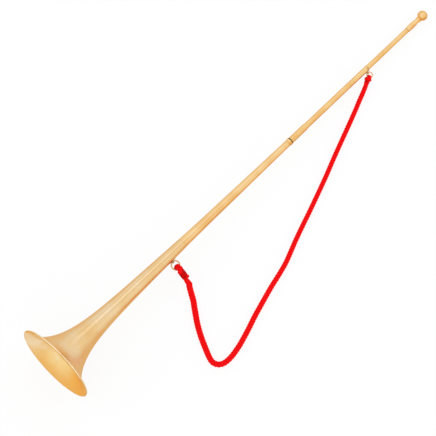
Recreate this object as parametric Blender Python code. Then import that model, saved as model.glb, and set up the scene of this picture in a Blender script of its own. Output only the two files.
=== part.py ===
"""Long straight toy trumpet of brass sheet, lying on its side, with a red carrying cord.

The horn is turned about one axis: bell, bell tube, slip joint, lead pipe, mouth pipe and
mouthpiece. Two rings hang in knuckles on its side and carry the cord, which lies on the floor.
"""

from math import asin, atan2, cos, exp, hypot, pi, radians, sin, sqrt

import bmesh
import bpy
from mathutils import Matrix, Vector

MM = 0.001

# Fits and sheet
FIT = 0.2 * MM                     # clearance between pieces that touch
SHEET = 0.5 * MM                   # brass sheet of the bell and the tubes

# Bell
RIM_RADIUS = 51.5 * MM             # outside of the rolled rim
RIM_WIRE_RADIUS = 0.6 * MM         # wire inside the rolled rim
RIM_LAND = 1.2 * MM                # flat land on the front of the rim
RIM_CURL = radians(250)            # how far the sheet is rolled round the wire
BELL_LENGTH = 212 * MM             # rim to the end of the bell's stem
BELL_STEM_RADIUS = 6.1 * MM        # middle of the sheet at the stem's end
BELL_TAPER = 0.0295                # growth of the stem's radius per unit of length
FLARE_RISE = 29.5 * MM             # what the flare adds at the rim
FLARE_REACH = 27.8 * MM            # length in which the flare falls to a third
LIP_REACH = 4.5 * MM               # the same for the steep lip

# Bell tube
TUBE_LENGTH = 181.4 * MM           # bell stem to the slip joint
TUBE_MOUTH_RADIUS = 3.93 * MM      # outside at the slip joint
TUBE_TAPER = 0.0105
TUBE_SEAM_STEP = 0.08 * MM         # step down from the bell's stem
TUBE_SWELL_REACH = 24 * MM
TUBE_SPIGOT = 14 * MM              # length inside the bell's stem

# Slip joint
SOCKET_DEPTH = 25 * MM
FERRULE_LENGTH = 4.4 * MM
FERRULE_SEAT = 0.25 * MM           # depth turned off the tube under the ferrule
FERRULE_WALL = 0.6 * MM            # at its widest place
FERRULE_START_WALL = 0.1 * MM
FERRULE_CROWN = 0.75               # share of its length to the widest place
JOINT_GAP = 0.8 * MM               # dark line between ferrule and sleeve
SLEEVE_LENGTH = 24.2 * MM
SLEEVE_WALL = 0.27 * MM

# Lead pipe and mouth pipe
LEAD_SPIGOT = 20 * MM              # length inside the bell tube
LEAD_RADIUS = 3.57 * MM            # outside at the slip joint
LEAD_LENGTH = 130.8 * MM           # slip joint to the mouth pipe
LEAD_END_RADIUS = 3.38 * MM
MOUTH_SPIGOT = 14 * MM             # length inside the lead pipe
MOUTH_PIPE_LENGTH = 68 * MM
MOUTH_PIPE_RADIUS = 3.08 * MM
MOUTH_PIPE_END_RADIUS = 2.82 * MM

# Reed unit in the end of the lead pipe
REED_LENGTH = 20 * MM              # block beyond its flange
REED_FLANGE = 1.2 * MM             # thickness of the flange
REED_BORE_RADIUS = 0.9 * MM
REED_FLAT = 1.4 * MM               # height of the flat above the axis
REED_FLAT_LENGTH = 16 * MM
REED_END_WALL = 2 * MM
REED_SLOT_WIDTH = 1.2 * MM
REED_SLOT_LENGTH = 8 * MM
TONGUE_WIDTH = 2 * MM
TONGUE_LENGTH = 14 * MM
TONGUE_THICKNESS = 0.25 * MM
TONGUE_CURL = 0.22 * MM            # how far the free tip stands off
RIVET_RADIUS = 0.4 * MM
RIVET_HEAD_RADIUS = 0.75 * MM
RIVET_HEAD = 0.2 * MM
RIVET_INSET = 2 * MM               # rivet from the root end of the tongue

# Mouthpiece
SHANK_LENGTH = 14 * MM
SHANK_BORE_RADIUS = 1.1 * MM
BALUSTER_LENGTH = 16.6 * MM        # shoulder to the neck
BALUSTER_PEAK = 10.6 * MM          # shoulder to the widest place
BALUSTER_RADIUS = 3.4 * MM
SHOULDER_RADIUS = 3.15 * MM
NECK_RADIUS = 2.75 * MM
NECK_LENGTH = 4 * MM
COLLAR_RADIUS = 3.45 * MM          # bead on the neck
COLLAR_START = 0.9 * MM
COLLAR_LENGTH = 2.6 * MM
COLLAR_EDGE = 0.4 * MM
BALL_RADIUS = 6 * MM
TIP_RADIUS = 3 * MM                # flat end of the ball
BLOW_HOLE_RADIUS = 1.7 * MM

# Rings, feet and knuckles
RING_TURN = radians(42)            # the rings' side, below level
RING_DROP = radians(-17)           # how far a ring hangs below that
PLATE_THICKNESS = 0.4 * MM
KNUCKLE_SINK = 0.15 * MM           # knuckle soldered into its plate
KNUCKLE_WALL = 0.4 * MM
KNUCKLE_PLAY = 0.42 * MM           # ring wire in its knuckle
LOWER = dict(
    ring_z=BELL_LENGTH - 23 * MM, ring_radius=5.3 * MM, wire_radius=0.8 * MM,
    plate_length=12 * MM, plate_width=6 * MM, knuckle_length=2.4 * MM,
    wrap=radians(-3.5), cord_drop=radians(0), fold_width=3.5 * MM, fold_thickness=2.1 * MM,
    bulge=0.2 * MM, leg_radius=2.2 * MM, leg_length=20 * MM, tail_short=0.5 * MM,
    tail_splay=2.4 * MM, twist=radians(-42), neck=3.8 * MM, whip_start=4.2 * MM, whip_length=8.7 * MM)
UPPER = dict(
    ring_z=BELL_LENGTH + TUBE_LENGTH + LEAD_LENGTH - 3.2 * MM,
    ring_radius=3.6 * MM, wire_radius=0.65 * MM,
    plate_length=6 * MM, plate_width=4.5 * MM, knuckle_length=1.6 * MM,
    wrap=radians(64), cord_drop=radians(-15), fold_width=2.3 * MM, fold_thickness=1.35 * MM,
    bulge=1.5 * MM, leg_radius=2.2 * MM, leg_length=13.5 * MM, tail_short=1.5 * MM,
    tail_splay=-0.8 * MM, twist=radians(-13), neck=3.5 * MM, whip_start=3.7 * MM, whip_length=2.7 * MM)
WHIP_WALL = 0.35 * MM
FOLD_PLAY = 0.45 * MM              # folded cord from the ring's wire
TAIL_STRAIGHT = 1 * MM             # the cut tail beyond its whipping, before it spreads

# Cord
CORD_LOWER_RADIUS = 3.1 * MM       # at the lower ring
CORD_UPPER_RADIUS = 2.4 * MM       # at the upper ring
CORD_STEP = 8 * MM                 # between the points of its tube
CORD_END_GAP = 0.3 * MM            # to the doubled ends
# Middle of the cord on the floor, from the lower ring to the upper ring, in millimetres
CORD_ROUTE = [
    (-124.1, -37.1, 10.4), (-128.2, -44.3, 6.3), (-133, -52.6, 5.5), (-138.1, -59.6, 3.5),
    (-143.3, -66.8, 3.2), (-148.8, -74.6, 3.2), (-153.8, -82.9, 3.2), (-158.4, -91.5, 3.2),
    (-162.2, -99.7, 3.2), (-165.7, -107.5, 3.15), (-168.6, -114.9, 3.1), (-169.6, -120.9, 3.1),
    (-167.6, -126.3, 3.05), (-163.1, -130, 3), (-157.3, -131.5, 3), (-149.2, -131.5, 2.95),
    (-139.8, -130.1, 2.9), (-130.3, -128, 2.9), (-111.9, -122.4, 2.85), (-93.6, -116.2, 2.8),
    (-75.1, -110.8, 2.8), (-56.3, -105.5, 2.75), (-38.4, -101.2, 2.75), (-23.8, -97.2, 2.7),
    (-9.9, -91.9, 2.7), (3.8, -86.4, 2.65), (21.9, -79.8, 2.65), (40.3, -73.4, 2.6),
    (63.1, -65.1, 2.6), (86.1, -56.5, 2.55), (108.8, -47.4, 2.55), (131.8, -38.6, 2.5),
    (150.3, -31.6, 2.5), (168, -24.7, 2.55), (181, -19.4, 3.4)]

# Looks: colour, roughness, metallic
BRASS = ((0.83, 0.58, 0.27), 0.22, 1)
WIRE_BRASS = ((0.72, 0.48, 0.2), 0.3, 1)
STEEL = ((0.6, 0.6, 0.6), 0.3, 1)
RED_BRAID = ((0.85, 0.01, 0.012), 0.8, 0)
DARK_THREAD = ((0.4, 0.005, 0.008), 0.85, 0)

# Places along the horn's axis, from the front of the bell
JOINT_Z = BELL_LENGTH + TUBE_LENGTH
SLEEVE_Z = JOINT_Z + JOINT_GAP
LEAD_END_Z = JOINT_Z + LEAD_LENGTH
MOUTH_END_Z = LEAD_END_Z + MOUTH_PIPE_LENGTH
NECK_Z = MOUTH_END_Z + FIT + BALUSTER_LENGTH
BALL_Z = NECK_Z + NECK_LENGTH + sqrt(BALL_RADIUS ** 2 - NECK_RADIUS ** 2)
BEAD_RADIUS = RIM_WIRE_RADIUS + FIT + SHEET
SOCKET_RADIUS = TUBE_MOUTH_RADIUS - SHEET
SPIGOT_RADIUS = SOCKET_RADIUS - FIT
REED_ROOT_Z = JOINT_Z - LEAD_SPIGOT - FIT
SHANK_RADIUS = LEAD_END_RADIUS - 2 * SHEET - 2 * FIT


def clear_scene():
    for obj in list(bpy.data.objects):
        bpy.data.objects.remove(obj, do_unlink=True)


def finish(name, colour, roughness, metallic):
    material = bpy.data.materials.new(name)
    material.use_nodes = True
    shader = material.node_tree.nodes["Principled BSDF"]
    shader.inputs["Base Color"].default_value = (*colour, 1)
    shader.inputs["Roughness"].default_value = roughness
    shader.inputs["Metallic"].default_value = metallic
    return material


def link(name, data, parent, look):
    obj = bpy.data.objects.new(name, data)
    bpy.context.collection.objects.link(obj)
    obj.parent = parent
    data.materials.append(finish(name, *look))
    return obj


def mesh_object(name, bm, parent, look, sharp=radians(40)):
    bmesh.ops.recalc_face_normals(bm, faces=bm.faces)
    mesh = bpy.data.meshes.new(name)
    bm.to_mesh(mesh)
    bm.free()
    mesh.shade_smooth()
    mesh.set_sharp_from_angle(angle=sharp)
    return link(name, mesh, parent, look)


def turned(name, profile, steps, parent, look):
    """Turn a closed outline of (radius, z) points about the Z axis."""
    bm = bmesh.new()
    verts = [bm.verts.new((r, 0, z)) for r, z in profile]
    edges = [bm.edges.new((verts[i - 1], verts[i])) for i in range(len(verts))]
    bmesh.ops.spin(bm, geom=verts + edges, cent=(0, 0, 0), axis=(0, 0, 1), angle=2 * pi,
                   steps=steps, use_merge=True)
    bmesh.ops.remove_doubles(bm, verts=bm.verts, dist=1e-7)
    return mesh_object(name, bm, parent, look)


def lofted(name, sections, parent, look):
    """Join closed sections of equal length by strips and cap both ends."""
    bm = bmesh.new()
    rings = [[bm.verts.new(p) for p in section] for section in sections]
    count = len(rings[0])
    for low, high in zip(rings, rings[1:]):
        for i in range(count):
            bm.faces.new((low[i - 1], low[i], high[i], high[i - 1]))
    bm.faces.new(rings[0])
    bm.faces.new(rings[-1])
    return mesh_object(name, bm, parent, look)


def box_cutter(name, low, high, parent):
    bm = bmesh.new()
    bmesh.ops.create_cube(bm, size=1)
    size = Vector(high) - Vector(low)
    middle = (Vector(high) + Vector(low)) / 2
    bmesh.ops.scale(bm, vec=size, verts=bm.verts)
    bmesh.ops.translate(bm, vec=middle, verts=bm.verts)
    return as_tool(mesh_object(name, bm, parent, BRASS))


def rod_cutter(name, radius, start, end, steps, parent):
    """Round cutter between two points."""
    bm = bmesh.new()
    along = Vector(end) - Vector(start)
    turn = along.to_track_quat("Z", "Y").to_matrix().to_4x4()
    place = Matrix.Translation((Vector(start) + Vector(end)) / 2) @ turn
    bmesh.ops.create_cone(bm, cap_ends=True, segments=steps, radius1=radius, radius2=radius,
                          depth=along.length, matrix=place)
    return as_tool(mesh_object(name, bm, parent, BRASS))


def as_tool(obj):
    obj.hide_render = True
    obj.display_type = "WIRE"
    return obj


def combine(obj, tool, operation):
    modifier = obj.modifiers.new(tool.name, "BOOLEAN")
    modifier.operation = operation
    modifier.solver = "EXACT"
    modifier.object = tool


def sheet_outline(middle, thickness):
    """Closed outline of a sheet that follows the (radius, z) points of its middle line."""
    left, right = [], []
    last = len(middle) - 1
    for i, point in enumerate(middle):
        before = Vector(middle[max(i - 1, 0)])
        after = Vector(middle[min(i + 1, last)])
        normal = (after - before).orthogonal().normalized() * thickness / 2
        left.append(tuple(Vector(point) + normal))
        right.append(tuple(Vector(point) - normal))
    return left + right[::-1]


def smooth(t):
    t = min(max(t, 0), 1)
    return t * t * (3 - 2 * t)


def bell_radius(z):
    """Middle of the bell's sheet: tapered stem, flare and steep lip."""
    land_start = RIM_RADIUS - BEAD_RADIUS - RIM_LAND
    lip_rise = land_start - BELL_STEM_RADIUS - BELL_TAPER * BELL_LENGTH - FLARE_RISE
    from_lip = z - SHEET / 2
    stem = BELL_STEM_RADIUS + BELL_TAPER * (BELL_LENGTH - from_lip)
    return stem + FLARE_RISE * exp(-from_lip / FLARE_REACH) + lip_rise * exp(-from_lip / LIP_REACH)


def tube_radius(z):
    """Outside of the bell tube."""
    start = BELL_STEM_RADIUS + SHEET / 2 - TUBE_SEAM_STEP
    swell = start - TUBE_MOUTH_RADIUS - TUBE_TAPER * TUBE_LENGTH
    line = TUBE_MOUTH_RADIUS + TUBE_TAPER * (JOINT_Z - z)
    return line + swell * exp((BELL_LENGTH - z) / TUBE_SWELL_REACH)


def lead_radius(z):
    """Outside of the lead pipe."""
    return LEAD_RADIUS + (LEAD_END_RADIUS - LEAD_RADIUS) * (z - JOINT_Z) / LEAD_LENGTH


def make_bell(parent):
    points, curl_points, steps = 13, 8, 48
    length = BELL_LENGTH - SHEET / 2
    heights = [SHEET / 2 + length * (1 - i / points) ** 2.4 for i in range(points + 1)]
    middle = [(bell_radius(z), z) for z in heights]
    curl = BEAD_RADIUS - SHEET / 2
    wire_r = RIM_RADIUS - BEAD_RADIUS
    wire_z = BEAD_RADIUS
    for i in range(curl_points + 1):
        turn = RIM_CURL * i / curl_points
        middle.append((wire_r + curl * sin(turn), wire_z - curl * cos(turn)))
    turned("bell", sheet_outline(middle, SHEET), steps, parent, BRASS)
    wire = [(wire_r + RIM_WIRE_RADIUS * cos(pi * i / 3), wire_z + RIM_WIRE_RADIUS * sin(pi * i / 3))
            for i in range(6)]
    turned("rim_wire", wire, steps, parent, WIRE_BRASS)


def make_bell_tube(parent):
    points, steps = 6, 28
    spigot = bell_radius(BELL_LENGTH) - SHEET / 2 - FIT
    shoulder = BELL_LENGTH + FIT
    socket = JOINT_Z - SOCKET_DEPTH
    run = [shoulder + (JOINT_Z - shoulder) * (i / points) ** 1.5 for i in range(points + 1)]
    outside = [(spigot, BELL_LENGTH - TUBE_SPIGOT), (spigot, shoulder)]
    outside += [(tube_radius(z), z) for z in run]
    seat = JOINT_Z - FERRULE_LENGTH - FIT
    seat_radius = ferrule_bore() - FIT
    outside[-1:] = [(tube_radius(seat), seat), (seat_radius, seat), (seat_radius, JOINT_Z)]
    inside = [(SOCKET_RADIUS, JOINT_Z), (SOCKET_RADIUS, socket)]
    inside += [(min(tube_radius(z), spigot) - SHEET, z) for z in run[::-1] if z < socket - SHEET]
    inside.append((spigot - SHEET, BELL_LENGTH - TUBE_SPIGOT))
    turned("bell_tube", outside + inside, steps, parent, BRASS)


def ferrule_bore():
    return tube_radius(JOINT_Z - FERRULE_LENGTH) - FERRULE_SEAT + FIT


def make_slip_joint(parent):
    """Flared ferrule in a seat on the bell tube's mouth, and sleeve on the lead pipe."""
    steps, flare = 28, 4
    start = JOINT_Z - FERRULE_LENGTH
    bore = ferrule_bore()
    rise = FERRULE_WALL - FERRULE_START_WALL
    outline = [(bore, start), (bore, JOINT_Z), (bore + FERRULE_WALL - rise / 2, JOINT_Z)]
    for i in range(flare, -1, -1):
        wall = FERRULE_START_WALL + rise * smooth(i / flare)
        outline.append((bore + wall, start + FERRULE_LENGTH * FERRULE_CROWN * i / flare))
    turned("joint_ferrule", outline, steps, parent, BRASS)
    bore = LEAD_RADIUS + FIT
    outer = bore + SLEEVE_WALL
    end = SLEEVE_Z + SLEEVE_LENGTH
    edge = SLEEVE_WALL / 2
    outline = [(bore, SLEEVE_Z), (bore, end), (outer - edge, end), (outer, end - edge)]
    outline += [(outer, SLEEVE_Z + edge), (outer - edge, SLEEVE_Z)]
    turned("joint_sleeve", outline, steps, parent, BRASS)


def make_pipes(parent):
    steps = 28
    shoulder = SLEEVE_Z
    start = JOINT_Z - LEAD_SPIGOT
    bore_end = LEAD_END_RADIUS - SHEET
    outline = [(SPIGOT_RADIUS, start), (SPIGOT_RADIUS, shoulder), (lead_radius(shoulder), shoulder)]
    outline += [(LEAD_END_RADIUS, LEAD_END_Z), (bore_end, LEAD_END_Z)]
    outline += [(bore_end, LEAD_END_Z - 2 * MOUTH_SPIGOT), (SPIGOT_RADIUS - SHEET, shoulder + SHEET)]
    outline.append((SPIGOT_RADIUS - SHEET, start))
    turned("lead_pipe", outline, steps, parent, BRASS)
    spigot = bore_end - FIT
    bore = spigot - SHEET
    shoulder = LEAD_END_Z + FIT
    outline = [(spigot, LEAD_END_Z - MOUTH_SPIGOT), (spigot, shoulder), (MOUTH_PIPE_RADIUS, shoulder)]
    outline += [(MOUTH_PIPE_END_RADIUS, MOUTH_END_Z), (bore, MOUTH_END_Z)]
    outline.append((bore, LEAD_END_Z - MOUTH_SPIGOT))
    turned("mouth_pipe", outline, steps, parent, BRASS)


def make_reed(parent):
    """Flanged block with a bore, a flat and a slot, and a riveted tongue over the slot."""
    steps = 20
    block = SPIGOT_RADIUS - SHEET - FIT
    root = REED_ROOT_Z - REED_FLANGE
    tip = REED_ROOT_Z + REED_LENGTH
    bore_end = tip - REED_END_WALL
    bm = bmesh.new()
    outline = [(0, root), (SPIGOT_RADIUS - FIT, root), (SPIGOT_RADIUS - FIT, REED_ROOT_Z)]
    outline += [(block, REED_ROOT_Z), (block, tip), (0, tip)]
    verts = [bm.verts.new((r, 0, z)) for r, z in outline]
    edges = [bm.edges.new(pair) for pair in zip(verts, verts[1:])]
    bmesh.ops.spin(bm, geom=verts + edges, cent=(0, 0, 0), axis=(0, 0, 1), angle=2 * pi,
                   steps=steps, use_merge=True)
    bmesh.ops.remove_doubles(bm, verts=bm.verts, dist=1e-7)
    body = mesh_object("reed_block", bm, parent, BRASS)
    flat_start = tip - REED_FLAT_LENGTH
    slot_end = bore_end - REED_BORE_RADIUS
    margin = block
    flat = box_cutter("reed_flat_cut", (REED_FLAT, -margin, flat_start),
                      (REED_FLAT + margin, margin, tip + margin), parent)
    slot = box_cutter("reed_slot_cut", (0, -REED_SLOT_WIDTH / 2, slot_end - REED_SLOT_LENGTH),
                      (REED_FLAT + margin, REED_SLOT_WIDTH / 2, slot_end), parent)
    bore = rod_cutter("reed_bore_cut", REED_BORE_RADIUS, (0, 0, root - margin), (0, 0, bore_end),
                      12, parent)
    tongue_root = flat_start + FIT
    rivet_z = tongue_root + RIVET_INSET
    under = REED_FLAT + FIT
    top = under + TONGUE_THICKNESS
    hole = rod_cutter("reed_rivet_cut", RIVET_RADIUS + FIT, (0, 0, rivet_z),
                      (REED_FLAT + margin, 0, rivet_z), 10, parent)
    for tool in (flat, bore, slot, hole):
        combine(body, tool, "DIFFERENCE")
    sections = []
    for i in range(9):
        share = i / 8
        z = tongue_root + TONGUE_LENGTH * share
        lift = TONGUE_CURL * max(share - 0.3, 0) ** 2
        half = TONGUE_WIDTH / 2
        low, high = under + lift, top + lift
        sections.append([(low, -half, z), (high, -half, z), (high, half, z), (low, half, z)])
    tongue = lofted("reed_tongue", sections, parent, STEEL)
    combine(tongue, hole, "DIFFERENCE")
    head = top + FIT
    outline = [(0, REED_BORE_RADIUS), (RIVET_RADIUS, REED_BORE_RADIUS), (RIVET_RADIUS, head)]
    outline += [(RIVET_HEAD_RADIUS, head), (RIVET_HEAD_RADIUS / 2, head + RIVET_HEAD)]
    outline.append((0, head + RIVET_HEAD))
    bm = bmesh.new()
    verts = [bm.verts.new((x, 0, rivet_z + r)) for r, x in outline]
    edges = [bm.edges.new(pair) for pair in zip(verts, verts[1:])]
    bmesh.ops.spin(bm, geom=verts + edges, cent=(0, 0, rivet_z), axis=(1, 0, 0), angle=2 * pi,
                   steps=10, use_merge=True)
    bmesh.ops.remove_doubles(bm, verts=bm.verts, dist=1e-7)
    mesh_object("reed_rivet", bm, parent, BRASS)


def make_mouthpiece(parent):
    """Turned shank, baluster, neck and ball with a hole through all of it."""
    steps, curve = 24, 5
    shoulder = MOUTH_END_Z + FIT
    start = MOUTH_END_Z - SHANK_LENGTH
    outline = [(SHANK_RADIUS, start), (SHANK_RADIUS, shoulder), (SHOULDER_RADIUS, shoulder)]
    for i in range(1, curve):
        share = i / curve
        rise = SHOULDER_RADIUS + (BALUSTER_RADIUS - SHOULDER_RADIUS) * sin(pi / 2 * share)
        outline.append((rise, shoulder + BALUSTER_PEAK * share))
    for i in range(curve):
        share = i / curve
        fall = NECK_RADIUS + (BALUSTER_RADIUS - NECK_RADIUS) * (1 - smooth(share))
        outline.append((fall, shoulder + BALUSTER_PEAK + (BALUSTER_LENGTH - BALUSTER_PEAK) * share))
    collar = NECK_Z + COLLAR_START
    collar_end = collar + COLLAR_LENGTH
    outline += [(NECK_RADIUS, NECK_Z), (NECK_RADIUS, collar), (COLLAR_RADIUS, collar + COLLAR_EDGE)]
    outline += [(COLLAR_RADIUS, collar_end - COLLAR_EDGE), (NECK_RADIUS, collar_end)]
    first = atan2(NECK_RADIUS, -(BALL_Z - NECK_Z - NECK_LENGTH))
    last = asin(TIP_RADIUS / BALL_RADIUS)
    for i in range(2 * curve + 1):
        turn = first + (last - first) * i / (2 * curve)
        outline.append((BALL_RADIUS * sin(turn), BALL_Z + BALL_RADIUS * cos(turn)))
    tip = BALL_Z + BALL_RADIUS * cos(last)
    outline.append((BLOW_HOLE_RADIUS, tip - (TIP_RADIUS - BLOW_HOLE_RADIUS)))
    outline.append((SHANK_BORE_RADIUS, BALL_Z))
    outline.append((SHANK_BORE_RADIUS, start))
    turned("mouthpiece", outline, steps, parent, BRASS)


def knuckle_bore(end):
    """Radius of the knuckle's hole: wire, its bow along the knuckle and some play."""
    bow = (end["knuckle_length"] / 2) ** 2 / (2 * end["ring_radius"])
    return end["wire_radius"] + bow + KNUCKLE_PLAY


def pivot_height(end, pipe):
    """Distance of the ring's pivot from the horn's axis."""
    outer = knuckle_bore(end) + KNUCKLE_WALL
    return pipe(end["ring_z"]) + FIT + PLATE_THICKNESS + outer - KNUCKLE_SINK


def hinge_lean():
    """Lean of the line through both knuckles against the horn's axis."""
    fall = pivot_height(LOWER, bell_outside) - pivot_height(UPPER, lead_radius)
    return -atan2(fall, UPPER["ring_z"] - LOWER["ring_z"])


def make_foot(name, end, pipe, parent):
    """Curved oval plate soldered to the pipe, with a knuckle for the ring on it."""
    across, along = 8, 10
    sections = []
    for i in range(along + 1):
        place = 2 * i / along - 1
        z = end["ring_z"] + end["plate_length"] / 2 * place
        half = end["plate_width"] / 2 * sqrt(1 - 0.92 * place ** 2)
        under = pipe(z) + FIT
        over = under + PLATE_THICKNESS
        angles = [half / under * (2 * j / across - 1) for j in range(across + 1)]
        section = [(under * cos(t), under * sin(t), z) for t in angles]
        section += [(over * cos(t), over * sin(t), z) for t in angles[::-1]]
        sections.append(section)
    foot = lofted(name, sections, parent, BRASS)
    bore = knuckle_bore(end)
    outer = bore + KNUCKLE_WALL
    low = -end["knuckle_length"] / 2
    high = end["knuckle_length"] / 2
    outline = [(bore, low), (outer, low), (outer, high), (bore, high)]
    knuckle = turned(name + "_knuckle", outline, 20, parent, BRASS)
    knuckle.location = (pivot_height(end, pipe), 0, end["ring_z"])
    knuckle.rotation_euler.y = hinge_lean()
    combine(foot, as_tool(knuckle), "UNION")


def ring_frame(end, pipe, horn):
    """World directions of a hanging ring: along the horn, outward in its plane, and its pivot."""
    along = horn.to_3x3() @ Vector((0, 0, 1))
    outward = horn.to_3x3() @ Vector((cos(RING_DROP), sin(RING_DROP), 0))
    pivot = horn @ Vector((pivot_height(end, pipe), 0, end["ring_z"]))
    return along, outward, pivot


def make_ring(name, end, pipe, horn, parent, major):
    minor = 8
    along, outward, pivot = ring_frame(end, pipe, horn)
    middle = pivot + outward * end["ring_radius"]
    bm = bmesh.new()
    for i in range(major):
        turn = 2 * pi * i / major
        radial = along * sin(turn) - outward * cos(turn)
        for j in range(minor):
            lean = 2 * pi * j / minor
            side = along.cross(outward)
            offset = radial * (end["ring_radius"] + end["wire_radius"] * cos(lean))
            bm.verts.new(middle + offset + side * end["wire_radius"] * sin(lean) - parent.location)
    bm.verts.ensure_lookup_table()
    for i in range(major):
        for j in range(minor):
            here, there = i * minor, (i + 1) % major * minor
            over = (j + 1) % minor
            bm.faces.new([bm.verts[k] for k in (here + j, there + j, there + over, here + over)])
    return mesh_object(name, bm, parent, WIRE_BRASS)


def eye_frame(end, pipe, horn):
    """Where the cord folds round the ring's wire, the way it leaves, and the wire's direction."""
    along, outward, pivot = ring_frame(end, pipe, horn)
    middle = pivot + outward * end["ring_radius"]
    radial = outward * cos(end["wrap"]) - along * sin(end["wrap"])
    wire = along * cos(end["wrap"]) + outward * sin(end["wrap"])
    drop = Matrix.Rotation(end["cord_drop"] - RING_DROP, 3, wire)
    leave = drop @ radial
    return middle + radial * end["ring_radius"], leave, wire


def eye_side(end, leave, wire):
    """Direction from the tail leg to the main leg where they lie together."""
    across = leave.cross(wire)
    return across * cos(end["twist"]) + wire * sin(end["twist"])


def leg_half_gap(end):
    return end["leg_radius"] + FIT / 2


def fold_bend(end):
    """Middle of the flattened cord from the middle of the ring's wire, clear of the wire's bow."""
    width, ring, steps = end["fold_width"], end["ring_radius"], 20
    reach = 0
    for i in range(steps):
        run = width * i / steps
        near = end["fold_thickness"] * sqrt(1 - (run / width) ** 2)
        reach = max(reach, near + ring - sqrt(ring ** 2 - run ** 2))
    return end["wire_radius"] + reach + FOLD_PLAY


def make_eye(name, end, pipe, horn, parent):
    """Doubled end of the cord: cut tail, flattened fold round the ring, and main leg."""
    fold, leave, wire = eye_frame(end, pipe, horn)
    across = leave.cross(wire)
    bend = fold_bend(end)
    side = eye_side(end, leave, wire)
    gap = leg_half_gap(end)
    whip_end = end["whip_start"] + end["whip_length"]
    spread = whip_end + TAIL_STRAIGHT
    tail_end = end["leg_length"] - end["tail_short"]
    splay = wire * end["tail_splay"] * (-1 if end["twist"] > 0 else 1)
    steps, sides = 5, 12

    def leg(run, sign):
        share = smooth(run / end["neck"])
        middle = fold + leave * run + (across * bend * (1 - share) + side * gap * share) * sign
        if sign < 0:
            middle += splay * smooth((run - spread) / (tail_end - spread))
        width = end["fold_width"] + (end["leg_radius"] - end["fold_width"]) * share
        thick = end["fold_thickness"] + (end["leg_radius"] - end["fold_thickness"]) * share
        return middle, width + end["bulge"] * sin(pi * share), thick

    runs = [end["neck"] * i / steps for i in range(1, steps + 1)]
    tail = [leg(run, -1) for run in runs + [whip_end, spread, tail_end]]
    main = [leg(run, 1) for run in runs + [whip_end, end["leg_length"]]]
    turns = [pi * i / 8 for i in range(9)]
    loop = [(fold - leave * bend * sin(t) - across * bend * cos(t), end["fold_width"],
             end["fold_thickness"]) for t in turns]
    path = tail[::-1] + loop + main
    sections = []
    for i, (middle, width, thick) in enumerate(path):
        before, after = path[max(i - 1, 0)][0], path[min(i + 1, len(path) - 1)][0]
        way = (after - before).normalized()
        out = way.cross(wire).normalized()
        flat = out.cross(way)
        angles = [2 * pi * j / sides for j in range(sides)]
        sections.append([middle + flat * width * cos(t) + out * thick * sin(t) - parent.location
                         for t in angles])
    lofted(name, sections, parent, RED_BRAID)


def cord_tube(name, points, parent):
    """Round tube with closed ends along (point, radius) pairs given in the world."""
    curve = bpy.data.curves.new(name, "CURVE")
    curve.dimensions = "3D"
    curve.bevel_depth = 1
    curve.bevel_resolution = 2
    curve.use_fill_caps = True
    spline = curve.splines.new("POLY")
    spline.points.add(len(points) - 1)
    for dot, (place, radius) in zip(spline.points, points):
        dot.co = (*(place - parent.location), 1)
        dot.radius = radius
    return link(name, curve, parent, RED_BRAID)


def make_whipping(name, end, pipe, horn, parent):
    """Band of thread round both legs of the doubled cord."""
    fold, leave, wire = eye_frame(end, pipe, horn)
    side = eye_side(end, leave, wire)
    up = leave.cross(side)
    gap = leg_half_gap(end)
    inner = end["leg_radius"] + FIT
    outer = inner + WHIP_WALL
    steps = 24
    bm = bmesh.new()
    loops = []
    for run in (end["whip_start"], end["whip_start"] + end["whip_length"]):
        for radius in (inner, outer):
            loop = []
            for i in range(steps):
                turn = 2 * pi * (i + 0.5) / steps
                shift = gap if cos(turn) > 0 else -gap
                flat = side * (shift + radius * cos(turn)) + up * radius * sin(turn)
                loop.append(bm.verts.new(fold + leave * run + flat - parent.location))
            loops.append(loop)
    for first, second in ((0, 1), (1, 3), (3, 2), (2, 0)):
        for i in range(steps):
            bm.faces.new((loops[first][i - 1], loops[first][i], loops[second][i], loops[second][i - 1]))
    mesh_object(name, bm, parent, DARK_THREAD)


def curve_through(points, step):
    """Even points on a smooth curve through the given ones."""
    dense = []
    for i in range(len(points) - 1):
        before = points[max(i - 1, 0)]
        after = points[min(i + 2, len(points) - 1)]
        start, end = points[i], points[i + 1]
        size = (end - start).length
        lead = (end - before).normalized() * size
        trail = (after - start).normalized() * size
        for j in range(12):
            t = j / 12
            h = smooth(t)
            dense.append(start * (1 - h) + end * h + lead * (t ** 3 - 2 * t ** 2 + t)
                         + trail * (t ** 3 - t ** 2))
    dense.append(points[-1])
    total = sum((b - a).length for a, b in zip(dense, dense[1:]))
    count = round(total / step)
    even = [dense[0]]
    run = 0
    for a, b in zip(dense, dense[1:]):
        size = (b - a).length
        while len(even) < count and run + size >= total / count * len(even):
            even.append(a.lerp(b, (total / count * len(even) - run) / size))
        run += size
    even.append(points[-1])
    return even, total


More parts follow.
